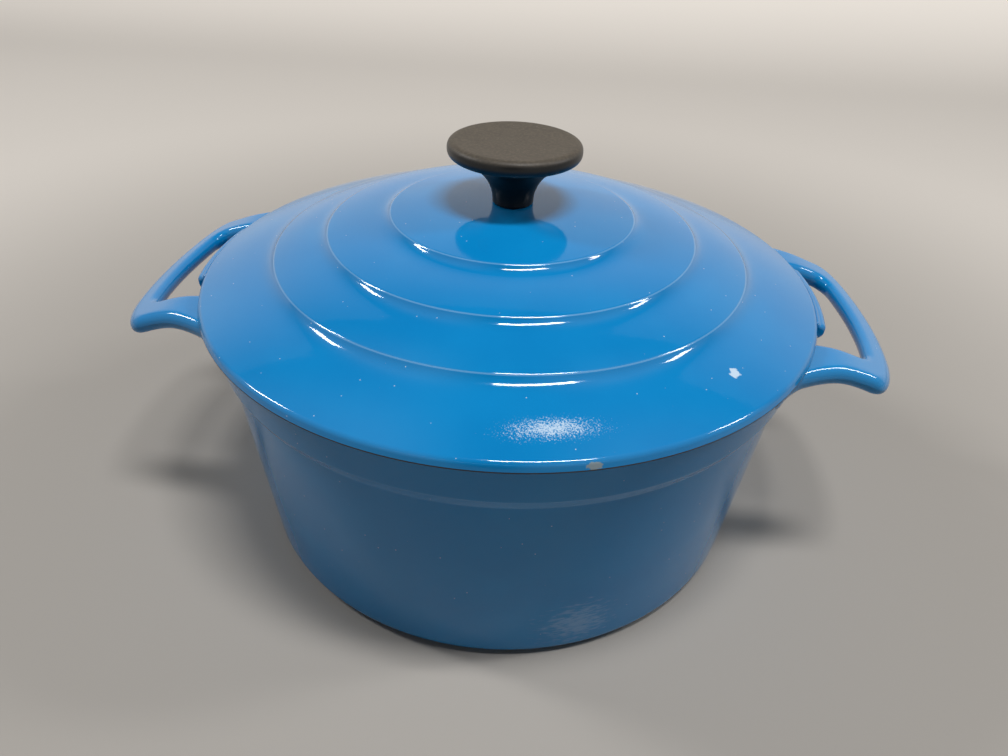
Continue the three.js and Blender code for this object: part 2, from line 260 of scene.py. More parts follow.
def fillet(gap: np.ndarray, radius: float) -> np.ndarray:
    """Height of a quarter-round fillet at a distance from the wall that it rises against.

    Args:
        gap: Distances from the wall, below 0 inside it.
        radius: Radius of the fillet.

    Returns:
        radius - sqrt(radius^2 - (radius - gap)^2), held at 0 beyond the fillet and at radius in the wall.
    """
    depth = np.clip(radius - gap, 0, radius)
    return radius - np.sqrt(radius**2 - depth**2)


@dataclass
class RoundedBar:
    """Bar between an inner and an outer line in plan, with a rounded rectangle as its section.

    Point (i, k) lies across the line from inner point i to outer point i, at the section's point k. That
    point is the middle of a corner arc plus the arc's radius along the section's normal, and the middle
    moves evenly from corner to corner along each flat.

    Attributes:
        inner: Inner line, as rows of x and y.
        outer: Outer line, with as many rows.
        thickness: Height of the section.
        edge: Radius of its corners.
        arc_steps: Spans in each corner.
        flat_steps: Spans along each flat.
    """

    inner: np.ndarray
    outer: np.ndarray
    thickness: float
    edge: float
    arc_steps: int = 7
    flat_steps: int = 4

    def section(self) -> tuple[np.ndarray, np.ndarray, np.ndarray]:
        """Goes once round the section, from its outside over its top.

        Returns:
            The corner that each point belongs to, as -1 to 1 across and -1 to 1 up, and its normal's angle.
        """
        turn = np.linspace(0, np.pi / 2, self.arc_steps + 1)
        along = np.linspace(1, -1, self.flat_steps + 1)[1:-1]
        ones_arc = np.ones_like(turn)
        ones_flat = np.ones_like(along)
        across = [ones_arc, along, -ones_arc, -ones_flat, -ones_arc, -along, ones_arc, ones_flat]
        up = [ones_arc, ones_flat, ones_arc, along, -ones_arc, -ones_flat, -ones_arc, -along]
        quarter = [turn, ones_flat * np.pi / 2]
        angle = [part + number * np.pi / 2 for number in range(4) for part in quarter]
        return np.concatenate(across), np.concatenate(up), np.concatenate(angle)

    def points(self) -> tuple[np.ndarray, np.ndarray]:
        """Works out the bar about the height 0.

        Returns:
            The grid of points, and the outward normal of the section at each point.
        """
        across, up, angle = self.section()
        width = np.linalg.norm(self.outer - self.inner, axis=1)[:, None]
        away = unit(self.outer - self.inner)[:, None, :]
        radius = np.minimum(self.edge, np.minimum(width, self.thickness) / 2)
        offset = across * (width / 2 - radius) + radius * np.cos(angle)
        rise = up * (self.thickness / 2 - radius) + radius * np.sin(angle)
        plan = ((self.inner + self.outer) / 2)[:, None, :] + away * offset[:, :, None]
        normal = np.concatenate(
            [
                away * np.cos(angle)[None, :, None],
                np.broadcast_to(np.sin(angle)[None, :, None], offset.shape + (1,)),
            ],
            axis=-1,
        )
        return np.concatenate([plan, rise[:, :, None]], axis=-1), normal


class Side(Enum):
    """The two sides of the oven that carry a handle and an ear, as turns about Z."""

    RIGHT = 0.0
    LEFT = math.pi

    def turn(self, points: np.ndarray) -> np.ndarray:
        """Points of the right side, turned to this one."""
        return points @ np.array(Matrix.Rotation(self.value, 3, "Z")).T


# Shader nodes

class Graph:
    """Node tree with short calls that add a node and fill its inputs."""

    def __init__(self, tree: bpy.types.NodeTree) -> None:
        """Takes the tree that the nodes go into."""
        self.tree = tree

    def feed(self, node: bpy.types.Node, inputs: dict) -> None:
        """Fills a node's inputs: a socket is linked, and anything else is set as the input's own value.

        Args:
            node: The node.
            inputs: Values or sockets by the name or number of the node's inputs.
        """
        for key, value in inputs.items():
            if isinstance(value, bpy.types.NodeSocket):
                self.tree.links.new(value, node.inputs[key])
            else:
                node.inputs[key].default_value = value

    def add(self, kind: str, inputs: Optional[dict] = None, **settings: object) -> bpy.types.Node:
        """Adds one node.

        Args:
            kind: Type of the node.
            inputs: Values or sockets by the name or number of the node's inputs.
            **settings: Properties of the node.

        Returns:
            The new node.
        """
        node = self.tree.nodes.new(kind)
        for key, setting in settings.items():
            setattr(node, key, setting)
        self.feed(node, inputs or {})
        return node

    def group(self, tree: bpy.types.NodeTree, **inputs: Value) -> bpy.types.NodeSocket:
        """First output of a node group, with underscores in input names standing for spaces."""
        named = {key.replace("_", " "): value for key, value in inputs.items()}
        return self.add("ShaderNodeGroup", named, node_tree=tree).outputs[0]

    def math(self, operation: str, *values: Value) -> bpy.types.NodeSocket:
        """Result of one arithmetic step on numbers or sockets."""
        return self.add("ShaderNodeMath", dict(enumerate(values)), operation=operation).outputs[0]

    def vector_math(self, operation: str, *values: Value) -> bpy.types.NodeSocket:
        """Vector result of one step on vectors or sockets."""
        return self.add("ShaderNodeVectorMath", dict(enumerate(values)), operation=operation).outputs[0]

    def length(self, vector: Value) -> bpy.types.NodeSocket:
        """Length of a vector."""
        return self.add("ShaderNodeVectorMath", {0: vector}, operation="LENGTH").outputs["Value"]

    def axes(self, vector: Value) -> bpy.types.NodeOutputs:
        """X, Y and Z of a vector, by name."""
        return self.add("ShaderNodeSeparateXYZ", {0: vector}).outputs

    def rise(self, value: Value, low: Value, high: Value) -> bpy.types.NodeSocket:
        """Smooth step from 0 at the low end to 1 at the high end."""
        inputs = {"Value": value, "From Min": low, "From Max": high}
        return self.add("ShaderNodeMapRange", inputs, interpolation_type="SMOOTHSTEP").outputs[0]

    def span(self, value: Value, low: Value, high: Value) -> bpy.types.NodeSocket:
        """Number from low to high as the value goes from 0 to 1."""
        return self.add("ShaderNodeMapRange", {"Value": value, "To Min": low, "To Max": high}).outputs[0]

    def noise(self, vector: Value, scale: Value, detail: float = 2.0) -> bpy.types.NodeSocket:
        """Soft noise from 0 to 1 in features of about 1 / scale."""
        inputs = {"Vector": vector, "Scale": scale, "Detail": detail}
        return self.add("ShaderNodeTexNoise", inputs).outputs[0]

    def mix(self, share: Value, under: Value, over: Value) -> bpy.types.NodeSocket:
        """Colour between two, by share of the second."""
        colours = {key: (*c, 1.0) if isinstance(c, tuple) else c for key, c in ((6, under), (7, over))}
        return self.add("ShaderNodeMix", {0: share, **colours}, data_type="RGBA").outputs[2]

    def place(self) -> bpy.types.NodeSocket:
        """Position on the piece in metres."""
        return self.add("ShaderNodeTexCoord").outputs["Object"]

    def bump(self, height: Value) -> bpy.types.NodeSocket:
        """Normal of the surface raised by a height in metres."""
        return self.add("ShaderNodeBump", {"Height": height, "Strength": 1.0, "Distance": 1.0}).outputs[0]

    def seen(self) -> bpy.types.NodeSocket:
        """Tells rays that show a surface from those that only light another.

        Returns:
            1 for a ray from the camera, straight, mirrored or through glass, and 0 for any other.
        """
        rays = self.add("ShaderNodeLightPath").outputs
        shown = self.math("MAXIMUM", rays["Is Camera Ray"], rays["Is Glossy Ray"])
        return self.math("MAXIMUM", shown, rays["Is Transmission Ray"])


def new_group(
    name: str, inputs: dict[str, Union[float, tuple]], output: str
) -> tuple[Graph, bpy.types.NodeOutputs, bpy.types.Node]:
    """Starts a shader node group.

    Args:
        name: Name of the group.
        inputs: Default numbers or vectors by input name.
        output: Name of its one output.

    Returns:
        The graph to fill, the sockets of its inputs, and the node that takes its result.
    """
    tree = bpy.data.node_groups.new(name, "ShaderNodeTree")
    for label, default in inputs.items():
        kind = "NodeSocketVector" if isinstance(default, tuple) else "NodeSocketFloat"
        tree.interface.new_socket(label, in_out="INPUT", socket_type=kind).default_value = default
    tree.interface.new_socket(output, in_out="OUTPUT", socket_type="NodeSocketFloat")
    graph = Graph(tree)
    return graph, graph.add("NodeGroupInput").outputs, graph.add("NodeGroupOutput")


class Effects:
    """Node groups that several finishes share."""

    def __init__(self) -> None:
        """Builds each group once."""
        self.ripple = self._ripple()
        self.specks = self._specks()
        self.clouds = self._clouds()
        self.patch = self._patch()

    @staticmethod
    def _ripple() -> bpy.types.NodeTree:
        """Builds the unevenness of a fired or moulded surface: a fine peel on slow waves, as a height.

        Returns:
            The group, with the scale and height of the peel and of the waves as inputs.
        """
        sizes = {"Peel Scale": 400.0, "Peel Height": 0.0, "Wave Scale": 40.0, "Wave Height": 0.0}
        graph, given, result = new_group("surface_ripple", sizes, "Height")
        place = graph.place()
        peel = graph.math("MULTIPLY", graph.noise(place, given["Peel Scale"], 1.0), given["Peel Height"])
        waves = graph.math("MULTIPLY", graph.noise(place, given["Wave Scale"], 0.0), given["Wave Height"])
        graph.feed(result, {0: graph.math("ADD", peel, waves)})
        return graph.tree

    @staticmethod
    def _specks() -> bpy.types.NodeTree:
        """Builds sparse round specks, at the middle of each cell whose random number is below the amount.

        Returns:
            The group, with the cells' scale, the specks' radius in cells and their amount as inputs.
        """
        sizes = {"Scale": 150.0, "Radius": 0.08, "Amount": 0.1}
        graph, given, result = new_group("dust_specks", sizes, "Mask")
        cells = graph.add("ShaderNodeTexVoronoi", {"Vector": graph.place(), "Scale": given["Scale"]})
        half = graph.math("MULTIPLY", given["Radius"], 0.5)
        dot = graph.rise(cells.outputs["Distance"], given["Radius"], half)
        lot = graph.add("ShaderNodeSeparateColor", {0: cells.outputs["Color"]}).outputs[0]
        chosen = graph.math("LESS_THAN", lot, given["Amount"])
        graph.feed(result, {0: graph.math("MULTIPLY", dot, chosen)})
        return graph.tree

    @staticmethod
    def _clouds() -> bpy.types.NodeTree:
        """Builds the cloudy film that hands and cloths leave: stretched noise between two limits.

        Returns:
            The group, with a scale for each axis and the lower and upper limit of the noise as inputs.
        """
        sizes = {"Scale": (20.0, 20.0, 20.0), "Low": 0.4, "High": 0.7}
        graph, given, result = new_group("handling_clouds", sizes, "Mask")
        stretched = graph.vector_math("MULTIPLY", graph.place(), given["Scale"])
        film = graph.rise(graph.noise(stretched, 1.0, 4.0), given["Low"], given["High"])
        graph.feed(result, {0: film})
        return graph.tree

    @staticmethod
    def _patch() -> bpy.types.NodeTree:
        """Builds one marked place, worn or with a painted sheen: a ragged spot, 1 inside the reach of its
        centre and 0 outside.

        Returns:
            The group, with the centre, the turn about Z, the reach along each turned axis, the softness of
            the edge, and its raggedness and that one's grain along each axis as inputs.
        """
        sizes = {"Centre": (0.0, 0.0, 0.0), "Turn": 0.0, "Reach": (0.01, 0.01, 0.01), "Soft": 0.25}
        sizes |= {"Ragged": 0.5, "Grain": (300.0, 300.0, 300.0)}
        graph, given, result = new_group("worn_or_sheen_patch", sizes, "Mask")
        place = graph.place()
        away = {"Vector": graph.vector_math("SUBTRACT", place, given["Centre"]), "Angle": given["Turn"]}
        straight = graph.add("ShaderNodeVectorRotate", away, rotation_type="Z_AXIS", invert=True)
        distance = graph.length(graph.vector_math("DIVIDE", straight.outputs[0], given["Reach"]))
        grain = graph.noise(graph.vector_math("MULTIPLY", place, given["Grain"]), 1.0, 3.0)
        grain = graph.math("SUBTRACT", grain, 0.5)
        edge = graph.math("ADD", distance, graph.math("MULTIPLY", grain, given["Ragged"]))
        inside = graph.math("SUBTRACT", 1.0, given["Soft"])
        graph.feed(result, {0: graph.rise(edge, 1.0, inside)})
        return graph.tree


# Finishes

def shaded(colour: Colour, lightness: float) -> Colour:
    """Colour with each of its parts times the lightness."""
    return tuple(lightness * part for part in colour)


@dataclass(frozen=True)
class Finish:
    """Material whose shader takes its inputs from the finish.

    Attributes:
        name: Name of the material.
    """

    name: str

    def inputs(self, graph: Graph, effects: Effects) -> dict[str, Value]:
        """Works out what the shader's inputs take, in each kind of finish in its own way.

        Args:
            graph: Graph of the material.
            effects: The shared node groups.

        Returns:
            Values or sockets by the name of the shader's inputs.
        """
        raise NotImplementedError

    def material(self, effects: Effects) -> bpy.types.Material:
        """Builds the material.

        Args:
            effects: The shared node groups.

        Returns:
            The material.
        """
        material = bpy.data.materials.new(self.name)
        material.use_nodes = True
        graph = Graph(material.node_tree)
        graph.feed(graph.tree.nodes["Principled BSDF"], self.inputs(graph, effects))
        return material


@dataclass(frozen=True)
class WornOrSheenPlace:
    """One marked place on a glaze: a chip, a scuff, a pale spot, or a patch of painted sheen on a dull film.

    Attributes:
        centre: Middle of the place.
        reach: How far it spreads along each of its own axes.
        colour: What shows there.
        strength: How much of it shows.
        roughness: How rough the place is.
        ragged: Raggedness of its outline.
        grain: Fineness of that raggedness along each axis.
        soft: Softness of its edge, up to 1 where it fades from its middle.
        turn: Degrees that its own axes are turned about Z.
    """

    centre: Triple
    reach: Triple
    colour: Colour
    strength: float
    roughness: float
    ragged: float
    grain: Triple
    soft: float = 0.25
    turn: float = 0.0

    def wear(
        self, graph: Graph, effects: Effects, colour: Value, roughness: Value
    ) -> tuple[bpy.types.NodeSocket, bpy.types.NodeSocket]:
        """Lays the marked place, worn or painted with a sheen, over a glaze.

        Args:
            graph: Graph of the glaze's material.
            effects: The shared node groups.
            colour: Colour of the glaze.
            roughness: Roughness of the glaze.

        Returns:
            The colour and the roughness with the place on them.
        """
        shape = {"Centre": self.centre, "Turn": math.radians(self.turn), "Reach": self.reach}
        edge = {"Soft": self.soft, "Ragged": self.ragged, "Grain": self.grain}
        spot = graph.group(effects.patch, **shape, **edge)
        colour = graph.mix(graph.math("MULTIPLY", spot, self.strength), colour, self.colour)
        return colour, graph.span(spot, roughness, self.roughness)


@dataclass(frozen=True)
class Glaze(Finish):
    """Fired enamel: glossy, slightly uneven, a little cloudy, with dust, a few worn places and a patch of
    painted sheen.

    Attributes:
        deep: Colour of most of it.
        pale: Colour of its lighter clouds.
        roughness: Roughness of the clean surface.
        film: Roughness under a film of handling.
        cloud_scale: Scale of the lighter clouds along each axis.
        film_scale: Scale of the film along each axis.
        grain: Roughness that fine grit in the glaze adds.
        grit_scale: Scale of the grit.
        peel: Height of the fine unevenness.
        peel_scale: Its scale.
        waves: Height of the slow unevenness.
        wave_scale: Its scale.
        dust: Share of cells with a speck of dust.
        dust_scale: Scale of those cells.
        dust_radius: Radius of a speck in cells.
        dust_cover: How much of the glaze a speck hides.
        dust_colour: Colour of a speck.
        specular: Level of the mirrored light.
        worn: Its worn places, a pale spot and a patch of painted sheen.
    """

    deep: Colour
    pale: Colour
    roughness: float
    film: float
    cloud_scale: Triple = (24.0, 24.0, 34.0)
    film_scale: Triple = (60.0, 60.0, 25.0)
    grain: float = 0.03
    grit_scale: float = 2600.0
    peel: float = 0.01 * MM
    peel_scale: float = 420.0
    waves: float = 0.08 * MM
    wave_scale: float = 30.0
    dust: float = 0.08
    dust_scale: float = 420.0
    dust_radius: float = 0.11
    dust_cover: float = 0.7
    dust_colour: Colour = (0.75, 0.78, 0.8)
    specular: float = 0.4
    worn: tuple[WornOrSheenPlace, ...] = ()

    def inputs(self, graph: Graph, effects: Effects) -> dict[str, Value]:
        """Works out what the glaze's shader takes.

        Args:
            graph: Graph of the material.
            effects: The shared node groups.

        Returns:
            Values or sockets by the name of the shader's inputs.
        """
        clouds = graph.group(effects.clouds, Scale=self.cloud_scale, Low=0.35, High=0.75)
        film = graph.group(effects.clouds, Scale=self.film_scale, Low=0.5, High=0.72)
        dust = graph.group(effects.specks, Scale=self.dust_scale, Radius=self.dust_radius, Amount=self.dust)
        colour = graph.mix(clouds, self.deep, self.pale)
        colour = graph.mix(graph.math("MULTIPLY", dust, self.dust_cover), colour, self.dust_colour)
        grit = graph.rise(graph.noise(graph.place(), self.grit_scale, 1.0), 0.4, 0.7)
        roughness = graph.span(film, self.roughness, self.film)
        roughness = graph.math("MULTIPLY_ADD", grit, self.grain, roughness)
        for place in self.worn:
            colour, roughness = place.wear(graph, effects, colour, roughness)
        peel = {"Peel_Scale": self.peel_scale, "Peel_Height": self.peel}
        waves = {"Wave_Scale": self.wave_scale, "Wave_Height": self.waves}
        return {
            "Base Color": colour,
            "Roughness": roughness,
            "Normal": graph.bump(graph.group(effects.ripple, **peel, **waves)),
            "Specular IOR Level": self.specular,
        }


@dataclass(frozen=True)
class Phenolic(Finish):
    """Moulded black plastic that has gone brown and dull on top.

    Attributes:
        dark: Colour of the sides and stem.
        worn: Colour of the dulled top.
        worn_from: Height where the dulling starts.
        worn_to: Height where it is complete.
        clouds: Cover of the top's clouds, and their lightness beside its colour.
        cloud_scale: Their scale along each axis.
        grain: Cover and lightness of the top's grain.
        grain_scale: Its scale.
        scuffs: Cover and lightness of the scuffs along X.
        scuff_scale: Their scale along each axis.
        roughness: Roughness of the sides, and of the top.
        dust_cover: How much of the plastic a speck of dust hides.
        dust_colour: Colour of a speck.
        specular: Level of the mirrored light.
    """

    dark: Colour
    worn: Colour
    worn_from: float
    worn_to: float
    clouds: Pair = (0.5, 0.55)
    cloud_scale: Triple = (110.0, 110.0, 110.0)
    grain: Pair = (0.45, 1.9)
    grain_scale: float = 800.0
    scuffs: Pair = (0.4, 2.2)
    scuff_scale: Triple = (330.0, 2200.0, 330.0)
    roughness: Pair = (0.34, 0.55)
    dust_cover: float = 0.5
    dust_colour: Colour = (0.3, 0.28, 0.25)
    specular: float = 0.4

    def inputs(self, graph: Graph, effects: Effects) -> dict[str, Value]:
        """Works out what the plastic's shader takes.

        Args:
            graph: Graph of the material.
            effects: The shared node groups.

        Returns:
            Values or sockets by the name of the shader's inputs.
        """
        dull = graph.rise(graph.axes(graph.place())["Z"], self.worn_from, self.worn_to)
        clouds = graph.group(effects.clouds, Scale=self.cloud_scale, Low=0.3, High=0.75)
        grain = graph.rise(graph.noise(graph.place(), self.grain_scale, 3.0), 0.42, 0.66)
        along = graph.vector_math("MULTIPLY", graph.place(), self.scuff_scale)
        scuffs = graph.rise(graph.noise(along, 1.0, 2.0), 0.55, 0.72)
        shade = self.worn
        for mask, (cover, lightness) in ((clouds, self.clouds), (grain, self.grain), (scuffs, self.scuffs)):
            shade = graph.mix(graph.math("MULTIPLY", mask, cover), shade, shaded(self.worn, lightness))
        colour = graph.mix(dull, self.dark, shade)
        dust = graph.group(effects.specks, Scale=420.0, Radius=0.14, Amount=0.09)
        peel = {"Peel_Scale": 1500.0, "Peel_Height": 0.04 * MM}
        waves = {"Wave_Scale": 120.0, "Wave_Height": 0.05 * MM}
        return {
            "Base Color": graph.mix(graph.math("MULTIPLY", dust, self.dust_cover), colour, self.dust_colour),
            "Roughness": graph.span(dull, *self.roughness),
            "Normal": graph.bump(graph.group(effects.ripple, **peel, **waves)),
            "Specular IOR Level": self.specular,
        }


@dataclass(frozen=True)
class Metal(Finish):
    """Turned or plated metal with fine wear.

    Attributes:
        colour: Colour of the clean metal.
        dull: Colour of its tarnish.
        roughness: Roughness of the clean metal.
        dull_roughness: Roughness of its tarnish.
    """

    colour: Colour
    dull: Colour
    roughness: float
    dull_roughness: float = 0.55

    def inputs(self, graph: Graph, effects: Effects) -> dict[str, Value]:
        """Works out what the metal's shader takes.

        Args:
            graph: Graph of the material.
            effects: The shared node groups.

        Returns:
            Values or sockets by the name of the shader's inputs.
        """
        tarnish = graph.group(effects.clouds, Scale=(300.0, 300.0, 300.0), Low=0.4, High=0.75)
        peel = {"Peel_Scale": 2500.0, "Peel_Height": 0.01 * MM}
        return {
            "Base Color": graph.mix(tarnish, self.colour, self.dull),
            "Roughness": graph.span(tarnish, self.roughness, self.dull_roughness),
            "Normal": graph.bump(graph.group(effects.ripple, **peel)),
            "Metallic": 1.0,
        }


@dataclass(frozen=True)
class Paper(Finish):
    """Pale paper of the stage, whose glow shows in views and reflections and lights nothing.

    A fade is a pair of places: the glow is 0 at the first, whole at the second, and smooth between them.

    Attributes:
        colour: Colour of the paper and of its glow.
        mottle: Lightness of its darker clouds beside its colour.
        floor_glow: Glow away from the oven; the floor near the oven has none, so it shows darker round the
            oven as a painted shade pool.
        floor_fade: Distances from the oven's foot.
        wall_glow: Glow that the wall behind the oven adds.
        side_glow: The same far to the sides.
        wall_fade: Places along Y.
        top_fade: Heights.
        side_fade: Distances along X, from the wall's glow to the sides' glow.
    """

    colour: Colour = (0.385, 0.36, 0.33)
    mottle: float = 0.97
    floor_glow: float = 0.75
    floor_fade: Pair = (0.22, 0.65)
    wall_glow: float = 1.2
    side_glow: float = 1.6
    wall_fade: Pair = (0.8, 1.5)
    top_fade: Pair = (2.6, 1.0)
    side_fade: Pair = (0.8, 2.2)

    def inputs(self, graph: Graph, effects: Effects) -> dict[str, Value]:
        """Works out what the paper's shader takes.

        Args:
            graph: Graph of the material.
            effects: The shared node groups, which the paper does without.

        Returns:
            Values or sockets by the name of the shader's inputs.
        """
        place = graph.place()
        axes = graph.axes(place)
        # No glow near the oven leaves a darker pool round its foot, a painted shade.
        floor = graph.math("MULTIPLY", graph.rise(graph.length(place), *self.floor_fade), self.floor_glow)
        behind = graph.rise(axes["Y"], *self.wall_fade)
        wall = graph.math("MULTIPLY", behind, graph.rise(axes["Z"], *self.top_fade))
        beside = graph.rise(graph.math("ABSOLUTE", axes["X"]), *self.side_fade)
        glow = graph.math("MULTIPLY_ADD", wall, graph.span(beside, self.wall_glow, self.side_glow), floor)
        mottle = graph.noise(place, 3.0, 3.0)
        return {
            "Base Color": graph.mix(mottle, self.colour, shaded(self.colour, self.mottle)),
            "Roughness": 0.9,
            "Specular IOR Level": 0.2,
            "Emission Color": (*self.colour, 1.0),
            "Emission Strength": graph.math("MULTIPLY", graph.seen(), glow),
        }


CHIP = WornOrSheenPlace(
    centre=(37.1 * MM, -123.9 * MM, 115.2 * MM),
    reach=(3.0 * MM, 2.4 * MM, 1.4 * MM),
    colour=(0.27, 0.31, 0.3),
    strength=0.85,
    roughness=0.6,
    ragged=1.4,
    grain=(600.0, 600.0, 600.0),
)
# Small pale spot on the lid's front.
FLECK = WornOrSheenPlace(
    centre=(84.9 * MM, -76.1 * MM, 122.0 * MM),
    reach=(2.2 * MM, 2.6 * MM, 2.0 * MM),
    colour=(0.55, 0.68, 0.8),
    strength=0.9,
    roughness=0.5,
    ragged=1.8,
    grain=(500.0, 500.0, 500.0),
)
# Pale, rougher patch on the lid's front: partly a dull, dusty film, partly a painted highlight where a lamp's
# reflection falls.
DULL_FILM_AND_PAINTED_SHEEN = WornOrSheenPlace(
    centre=(23.5 * MM, -114.4 * MM, 121.3 * MM),
    turn=12.0,
    reach=(15.0 * MM, 4.0 * MM, 6.0 * MM),
    colour=(0.75, 0.86, 0.93),
    strength=0.6,
    roughness=0.36,
    ragged=3.4,
    grain=(1900.0, 1900.0, 1900.0),
    soft=1.0,
)
SCUFF = WornOrSheenPlace(
    centre=(40.0 * MM, -107.0 * MM, 19.0 * MM),
    reach=(15.0 * MM, 16.0 * MM, 14.0 * MM),
    colour=(0.4, 0.56, 0.8),
    strength=0.36,
    roughness=0.2,
    ragged=3.2,
    grain=(240.0, 240.0, 1100.0),
    soft=1.0,
)
BLUE_GLAZE = Glaze(
    "blue_glaze",
    deep=(0.002, 0.2, 0.5),
    pale=(0.003, 0.22, 0.53),
    roughness=0.06,
    film=0.1,
    worn=(CHIP, FLECK, DULL_FILM_AND_PAINTED_SHEEN, SCUFF),
)
# Paler blue on the rings' crest rounds: partly thinner enamel at the edges, partly a painted highlight along
# the crests.
CREST_HIGHLIGHT_GLAZE = Glaze(
    "crest_highlight_glaze",
    deep=(0.09, 0.3, 0.58),
    pale=(0.1, 0.32, 0.6),
    roughness=0.08,
    film=0.12,
    dust=0.0,
)
LINING_GLAZE = Glaze(
    "lining_glaze",
    deep=(0.66, 0.6, 0.48),
    pale=(0.72, 0.67, 0.56),
    roughness=0.12,
    film=0.2,
    dust=0.0,
)
# Matt black enamel of the rims; on the lid's round below its edge it also stands in for the shadow line
# there, as painted shade.
RIM_GLAZE = Glaze(
    "rim_glaze",
    deep=(0.012, 0.012, 0.013),
    pale=(0.02, 0.02, 0.02),
    roughness=0.45,
    film=0.6,
    peel=0.03 * MM,
    dust=0.0,
)
KNOB_PHENOLIC = Phenolic(
    "worn_phenolic",
    dark=(0.003, 0.003, 0.003),
    worn=(0.05, 0.04, 0.028),
    worn_from=KNOB_HIGH.z - 2.2 * MM,
    worn_to=KNOB_HIGH.z - 0.3 * MM,
)
STEEL = Metal("plated_steel", colour=(0.62, 0.63, 0.64), dull=(0.4, 0.39, 0.37), roughness=0.28)
BRASS = Metal("turned_brass", colour=(0.62, 0.45, 0.18), dull=(0.4, 0.28, 0.12), roughness=0.3)
PAPER = Paper("pale_paper")


class Palette:
    """Materials of the whole oven and of its stage."""

    def __init__(self) -> None:
        """Builds the shared node groups, and each material once."""
        effects = Effects()
        self.blue = BLUE_GLAZE.material(effects)
        self.rim = RIM_GLAZE.material(effects)
        self.lining = LINING_GLAZE.material(effects)
        self.crest = CREST_HIGHLIGHT_GLAZE.material(effects)
        self.knob = KNOB_PHENOLIC.material(effects)
        self.steel = STEEL.material(effects)
        self.brass = BRASS.material(effects)
        self.paper = PAPER.material(effects)

    def cast(self) -> list[bpy.types.Material]:
        """Materials of a casting in the order of CastFinish."""
        return [self.blue, self.rim, self.lining, self.crest]


class CastFinish(Enum):
    """Finishes on a casting, as indices of its materials."""

    BLUE = 0
    RIM = 1
    LINING = 2
    # Paler crest glaze, partly a painted highlight along the ring crests.
    CREST = 3


def place_piece(piece: bpy.types.Object, body: str, node: str) -> None:
    """Ties a piece to the body that it moves with, hides the solid that it stands for, and logs its faces.

    Args:
        piece: The finished piece.
        body: Body that it moves with.
        node: Solid that it replaces.
    """
    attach(piece, body)
    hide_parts(node)
    LOG.info("%s on %s, for %s: %d faces", piece.name, body, node, len(piece.data.polygons))


# Sub-assemblies

@dataclass
class Pot:
    """Pot with its collar, its cavity and the foot ring that it stands on."""

    height: float = POT_HIGH.z
    rim_radius: float = 126.2 * MM
    rim_width: float = 5.4 * MM
    rim_round: float = 1.4 * MM
    collar_depth: float = 16.5 * MM
    collar_draft: float = 1.8 * MM
    step_width: float = 2.7 * MM
    step_rise: float = 5 * MM
    step_round: float = 0.6 * MM
    base_radius: float = 112.8 * MM
    base_corner: float = 5.6 * MM
    wall: float = 3.6 * MM
    floor: float = 4.4 * MM
    floor_corner: float = 18 * MM
    foot_width: float = 9 * MM
    foot_height: float = 0.9 * MM
    segments: int = 256
    arc_steps: int = 10

    @property
    def mouth_radius(self) -> float:
        """Radius of the cavity at the rim."""
        return self.rim_radius - self.rim_width

    @property
    def collar_foot(self) -> np.ndarray:
        """Radius and height of the collar's lower edge."""
        return np.array([self.rim_radius - self.collar_draft, self.height - self.collar_depth])

    def collar_radius(self, height: np.ndarray) -> np.ndarray:
        """Outside of the collar at given heights."""
        foot = self.collar_foot
        return foot[0] + (self.rim_radius - foot[0]) * (height - foot[1]) / (self.height - foot[1])

    def inside_radius(self, height: float) -> float:
        """Radius of the cavity's straight wall at a height."""
        low = self.base_radius - self.wall
        return low + (self.mouth_radius - low) * height / self.height

    def profile(self) -> tuple[np.ndarray, np.ndarray]:
        """Goes from under the base out, up the wall and collar, over the rim and down into the cavity.

        Returns:
            Points of radius and height, and the finish of each span between them.
        """
        foot = self.collar_foot
        hollow = self.base_radius - self.base_corner - self.foot_width
        corners = np.array(
            [
                [0, self.foot_height],
                [hollow - self.foot_height, self.foot_height],
                [hollow, 0],
                [self.base_radius, 0],
                [foot[0] - self.step_width, foot[1] - self.step_rise],
                foot,
                [self.rim_radius, self.height],
                [self.mouth_radius, self.height],
                [self.inside_radius(self.floor), self.floor],
                [0, self.floor],
            ]
        )
        sharp = self.foot_height / 2
        cuts = np.array(
            [sharp, sharp, self.base_corner, self.step_round, self.step_round]
            + [self.rim_round, self.rim_round, self.floor_corner]
        )
        blue, rim, lining, _ = (finish.value for finish in CastFinish)
        after = np.array([blue] * 5 + [rim] + [lining] * 2)
        path = np.vstack([corners[:1], rounded(corners, cuts, self.arc_steps), corners[-1:]])
        return path, np.concatenate([[blue], np.repeat(after, self.arc_steps + 1)])

    def build(self, palette: Palette) -> bpy.types.Object:
        """Builds and dresses the pot.

        Args:
            palette: Materials of the oven.

        Returns:
            The piece.
        """
        path, finishes = self.profile()
        piece = Surface(turned(path, self.segments), finishes).piece("pot_shell", palette.cast())
        place_piece(piece, "pot", "pot_casting")
        return piece


